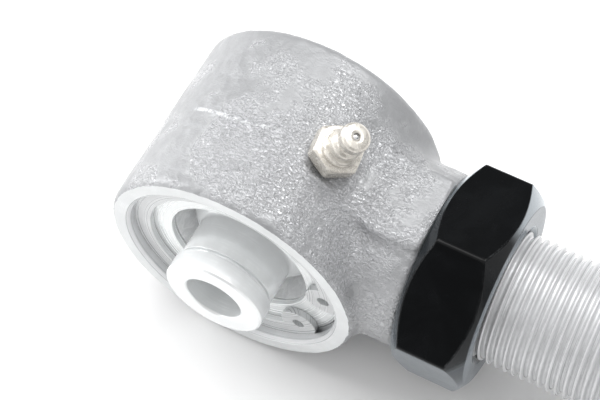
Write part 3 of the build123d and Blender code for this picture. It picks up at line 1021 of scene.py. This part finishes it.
class RODEND_OT_washers_and_ring(bpy.types.Operator):
    """Stamps the two side washers and finishes the snap ring"""

    bl_idname = "rodend.washers_and_ring"
    bl_label = "Washers and snap ring"

    def execute(self, context):
        settings = context.scene.rodend_bearing
        zinc = turned_steel("zinc washer", settings.washer_colour, (0, 1, 0), 0.22, 2.0, 0.4, 0.0015)
        for name, side in (("front", -1), ("back", 1)):
            corners = [
                (WASHER_HOLE_R, WASHER_INNER_Y, settings.edge),
                (WASHER_HOLE_R, WASHER_OUTER_Y, settings.edge),
                (WASHER_R, WASHER_OUTER_Y, settings.edge),
                (WASHER_R, WASHER_INNER_Y, settings.edge),
            ]
            outline = [(r, side * y) for r, y in rounded_outline(corners)]
            piece = turned_piece(
                f"side_washer_{name}", outline, (0, 1, 0), zinc, "housing", 144
            )
            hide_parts(f"washer_{name}")
        phosphate = turned_steel(
            "phosphated ring steel", (0.62, 0.63, 0.635, 1), (0, 1, 0), 0.30, 3.0, 0.4, 0.0012, 1.3
        )
        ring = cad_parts["snap_ring"]
        ring.data.materials.clear()
        ring.data.materials.append(phosphate)
        weld = ring.modifiers.new("joined corners", "WELD")
        weld.merge_threshold = 0.002 * MM
        round_edges(ring, 0.15 * MM)
        return {"FINISHED"}


# ================================================================ grease fitting
# (radius, height over the hexagon) of the nipple in millimetres, from the hexagon up and down the bore
NIPPLE = (
    (4.425, 0.0), (4.425, 0.85), (4.3, 1.05), (3.95, 1.15), (3.75, 1.35), (3.68, 1.7),
    (3.66, 3.9), (3.5, 4.3), (2.85, 4.75), (2.7, 5.0), (2.7, 5.5), (2.9, 5.9),
    (3.35, 6.45), (3.5, 6.8), (3.5, 8.6), (3.36, 8.95), (3.0, 9.15), (2.9, 9.25),
    (1.6, 9.4), (1.0, 9.4), (0.86, 9.28), (0.85, 8.9), (1.5, 8.3), (1.5, 0.5),
)


class RODEND_OT_grease_fitting(bpy.types.Operator):
    """Makes the grease fitting's hexagon and nipple, and finishes its check ball and spring"""

    bl_idname = "rodend.grease_fitting"
    bl_label = "Grease fitting"

    def execute(self, context):
        zinc = yellow_zinc()
        rows, angles = hexagon_grid(
            5.5 * MM, 0.3 * MM, HEX_BASE, HEX_TOP, 5.4 * MM, 4.4 * MM, math.radians(30)
        )
        flat = 0 * angles
        nipple = [
            (flat + r * MM, flat + HEX_TOP + up * MM)
            for r, up in NIPPLE
        ]
        foot = [
            (flat + 1.5 * MM, flat + FITTING_FOOT),
            (flat + 4.5 * MM, flat + FITTING_FOOT),
            (flat + 4.8 * MM, flat + FITTING_FOOT + 0.3 * MM),
            (flat + 4.8 * MM, flat + HEX_BASE),
        ]
        points, faces = grid_of_rows(foot + rows[2:-2] + nipple, angles, FITTING_DIR, HEX_TURN)
        piece = mesh_piece("grease_fitting", points, faces, zinc, "housing")
        face_outward(piece)
        break_edges(piece, 0.12 * MM, 2.0 * MM, FITTING_DIR)
        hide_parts("fitting_body")
        polished = turned_steel("check ball steel", (0.62, 0.62, 0.63, 1), FITTING_DIR, 0.16, 8.0)
        for name, material in (("fitting_check_ball", polished), ("fitting_spring", spring_wire())):
            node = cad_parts[name]
            node.data.materials.clear()
            node.data.materials.append(material)
        return {"FINISHED"}


# ================================================================ jam nut
class RODEND_OT_jam_nut(bpy.types.Operator):
    """Makes the jam nut: hexagon, turned chamfers, countersinks and a helical bore"""

    bl_idname = "rodend.jam_nut"
    bl_label = "Jam nut"

    def execute(self, context):
        settings = context.scene.rodend_nut
        black = black_oxide(settings.colour)
        rows, angles = hexagon_grid(
            NUT_FLATS_R,
            settings.ridge,
            NUT_START,
            NUT_END,
            NUT_FACE_R,
            NUT_BORE_R + 1.2 * MM,
            NUT_CHAMFER,
        )
        flat = 0 * angles
        lead = THREAD_PITCH * angles / (2 * math.pi)
        bore = []
        per_turn = 8
        low, high = NUT_START + NUT_COUNTERSINK, NUT_END - NUT_COUNTERSINK
        bore.append((flat + NUT_BORE_R, flat + high))
        for i in range(int((high - low) / THREAD_PITCH + 1) * per_turn, -per_turn, -1):
            share = (i % per_turn) / per_turn
            wave = 1 - abs(share - 0.5) * 2
            station = low + THREAD_PITCH * i / per_turn + lead
            bore.append((flat + NUT_BORE_R + NUT_THREAD_DEPTH * wave, np.clip(station, low, high)))
        bore.append((flat + NUT_BORE_R, flat + low))
        helix = (len(rows) + 1, len(rows) + len(bore) - 2, -per_turn)
        points, faces = grid_of_rows(rows + bore, angles, (1, 0, 0), NUT_TURN, helix=helix)
        piece = mesh_piece("lock_nut", points, faces, black, "jam_nut")
        face_outward(piece)
        break_edges(piece, 0.28 * MM, NUT_BORE_R + 1.1 * MM, (1, 0, 0))
        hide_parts("jam_nut")
        return {"FINISHED"}


# ================================================================ floor, light and camera
# name, place, aim, width, depth and power of the smaller softboxes
SIDE_LIGHTS = (
    ("left softbox", (-0.68, 0.02, 0.24), (0.0, 0, 0), 0.35, 0.35, 3.0),
    ("front softbox", (-0.62, -0.62, 0.30), (0.0, 0, 0), 0.35, 0.30, 1.2),
    ("skin sparkle softbox", (0.27, 0.40, 0.78), (0.0, 0, 0), 0.30, 0.30, 3.0),
)
# brightness of the room by height, from the horizon up: a dark band with pale walls and ceiling
SKY_LEVELS = ((0.0, 1.0), (0.10, 0.95), (0.30, 0.26), (0.58, 0.26), (0.72, 1.0), (1.0, 1.0))
CAMERA_PLACE = (0.1230, -0.2057, 0.4081)
CAMERA_RIGHT = (0.883, 0.469, -0.0171)
CAMERA_UP = (-0.3978, 0.7674, 0.5029)


def softbox(name, place, aim, width, depth, power):
    """A rectangular soft light that points at a spot."""
    light = bpy.data.lights.new(name, "AREA")
    light.shape = "RECTANGLE"
    light.size, light.size_y = width, depth
    light.energy = power
    lamp = in_scene(name, light)
    lamp.location = place
    direction = Vector(aim) - Vector(place)
    lamp.rotation_euler = direction.to_track_quat("-Z", "Y").to_euler()


class RODEND_OT_stage(bpy.types.Operator):
    """Lays the floor, hangs the softboxes and places the camera"""

    bl_idname = "rodend.stage"
    bl_label = "Stage"

    def execute(self, context):
        settings = context.scene.rodend_stage
        scene = context.scene
        paper = Finish("floor paper")
        cloud = paper.grain(0.02, 3.0)
        paper.colour(paper.tint(cloud, scaled(settings.floor_colour, 0.99), settings.floor_colour))
        paper.roughness(cloud, 0.8, 0.9)
        paper.relief((paper.grain(2.0), 0.01 * MM))
        bed = bmesh.new()
        bmesh.ops.create_grid(bed, x_segments=8, y_segments=8, size=3.0)
        mesh = bpy.data.meshes.new("floor")
        bed.to_mesh(mesh)
        bed.free()
        mesh.materials.append(paper.material)
        floor = in_scene("floor", mesh)
        floor.location = (0, 0, -EYE_R - 0.3 * MM)
        world = bpy.data.worlds.new("soft studio")
        world.use_nodes = True
        surround, links = world.node_tree.nodes, world.node_tree.links
        direction = surround.new("ShaderNodeTexCoord").outputs["Generated"]
        split = surround.new("ShaderNodeSeparateXYZ")
        links.new(direction, split.inputs["Vector"])
        ramp = surround.new("ShaderNodeValToRGB")
        while len(ramp.color_ramp.elements) < len(SKY_LEVELS):
            ramp.color_ramp.elements.new(0.5)
        for element, (height, level) in zip(ramp.color_ramp.elements, SKY_LEVELS):
            element.position = height
            element.color = (level, level, level, 1)
        links.new(split.outputs["Z"], ramp.inputs["Fac"])
        links.new(ramp.outputs["Color"], surround["Background"].inputs["Color"])
        surround["Background"].inputs["Strength"].default_value = 1.12
        scene.world = world
        softbox("key softbox", (-0.22, 0.20, 0.80), (0.02, 0, 0), 0.55, 0.55, settings.key_power)
        for light in SIDE_LIGHTS:
            softbox(*light)
        lens = bpy.data.cameras.new("camera")
        lens.lens, lens.sensor_width = 120.0, 36.0
        lens.clip_start, lens.clip_end = 0.01, 20.0
        camera = in_scene("camera", lens)
        right, up = Vector(CAMERA_RIGHT), Vector(CAMERA_UP)
        back = right.cross(up).normalized()
        right = up.cross(back).normalized()
        turn = Matrix((right, back.cross(right), back)).transposed()
        camera.matrix_world = Matrix.Translation(CAMERA_PLACE) @ turn.to_4x4()
        scene.camera = camera
        scene.view_settings.view_transform = "Standard"
        return {"FINISHED"}


# ================================================================ panel and registration
OPERATORS = (
    RODEND_OT_forged_housing,
    RODEND_OT_ball,
    RODEND_OT_races,
    RODEND_OT_washers_and_ring,
    RODEND_OT_grease_fitting,
    RODEND_OT_jam_nut,
    RODEND_OT_stage,
)
SETTINGS = {
    "rodend_forging": ForgingSettings,
    "rodend_bearing": BearingSettings,
    "rodend_nut": NutSettings,
    "rodend_stage": StageSettings,
}


class RODEND_PT_panel(bpy.types.Panel):
    """Lists the rod end's pieces and their settings"""

    bl_label = "Rod End"
    bl_idname = "RODEND_PT_panel"
    bl_space_type = "VIEW_3D"
    bl_region_type = "UI"
    bl_category = "Rod End"

    def draw(self, context):
        for name, kind in SETTINGS.items():
            box = self.layout.box()
            for field in kind.__annotations__:
                box.prop(getattr(context.scene, name), field)
        for operator in OPERATORS:
            self.layout.operator(operator.bl_idname)


def register():
    for kind in (*SETTINGS.values(), *OPERATORS, RODEND_PT_panel):
        bpy.utils.register_class(kind)
    for name, kind in SETTINGS.items():
        setattr(bpy.types.Scene, name, bpy.props.PointerProperty(type=kind))


def unregister():
    for name in SETTINGS:
        delattr(bpy.types.Scene, name)
    for kind in reversed((*SETTINGS.values(), *OPERATORS, RODEND_PT_panel)):
        bpy.utils.unregister_class(kind)


def main():
    register()
    for operator in OPERATORS:
        group, name = operator.bl_idname.split(".")
        getattr(getattr(bpy.ops, group), name)()
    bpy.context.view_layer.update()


if __name__ == "__main__":
    main()
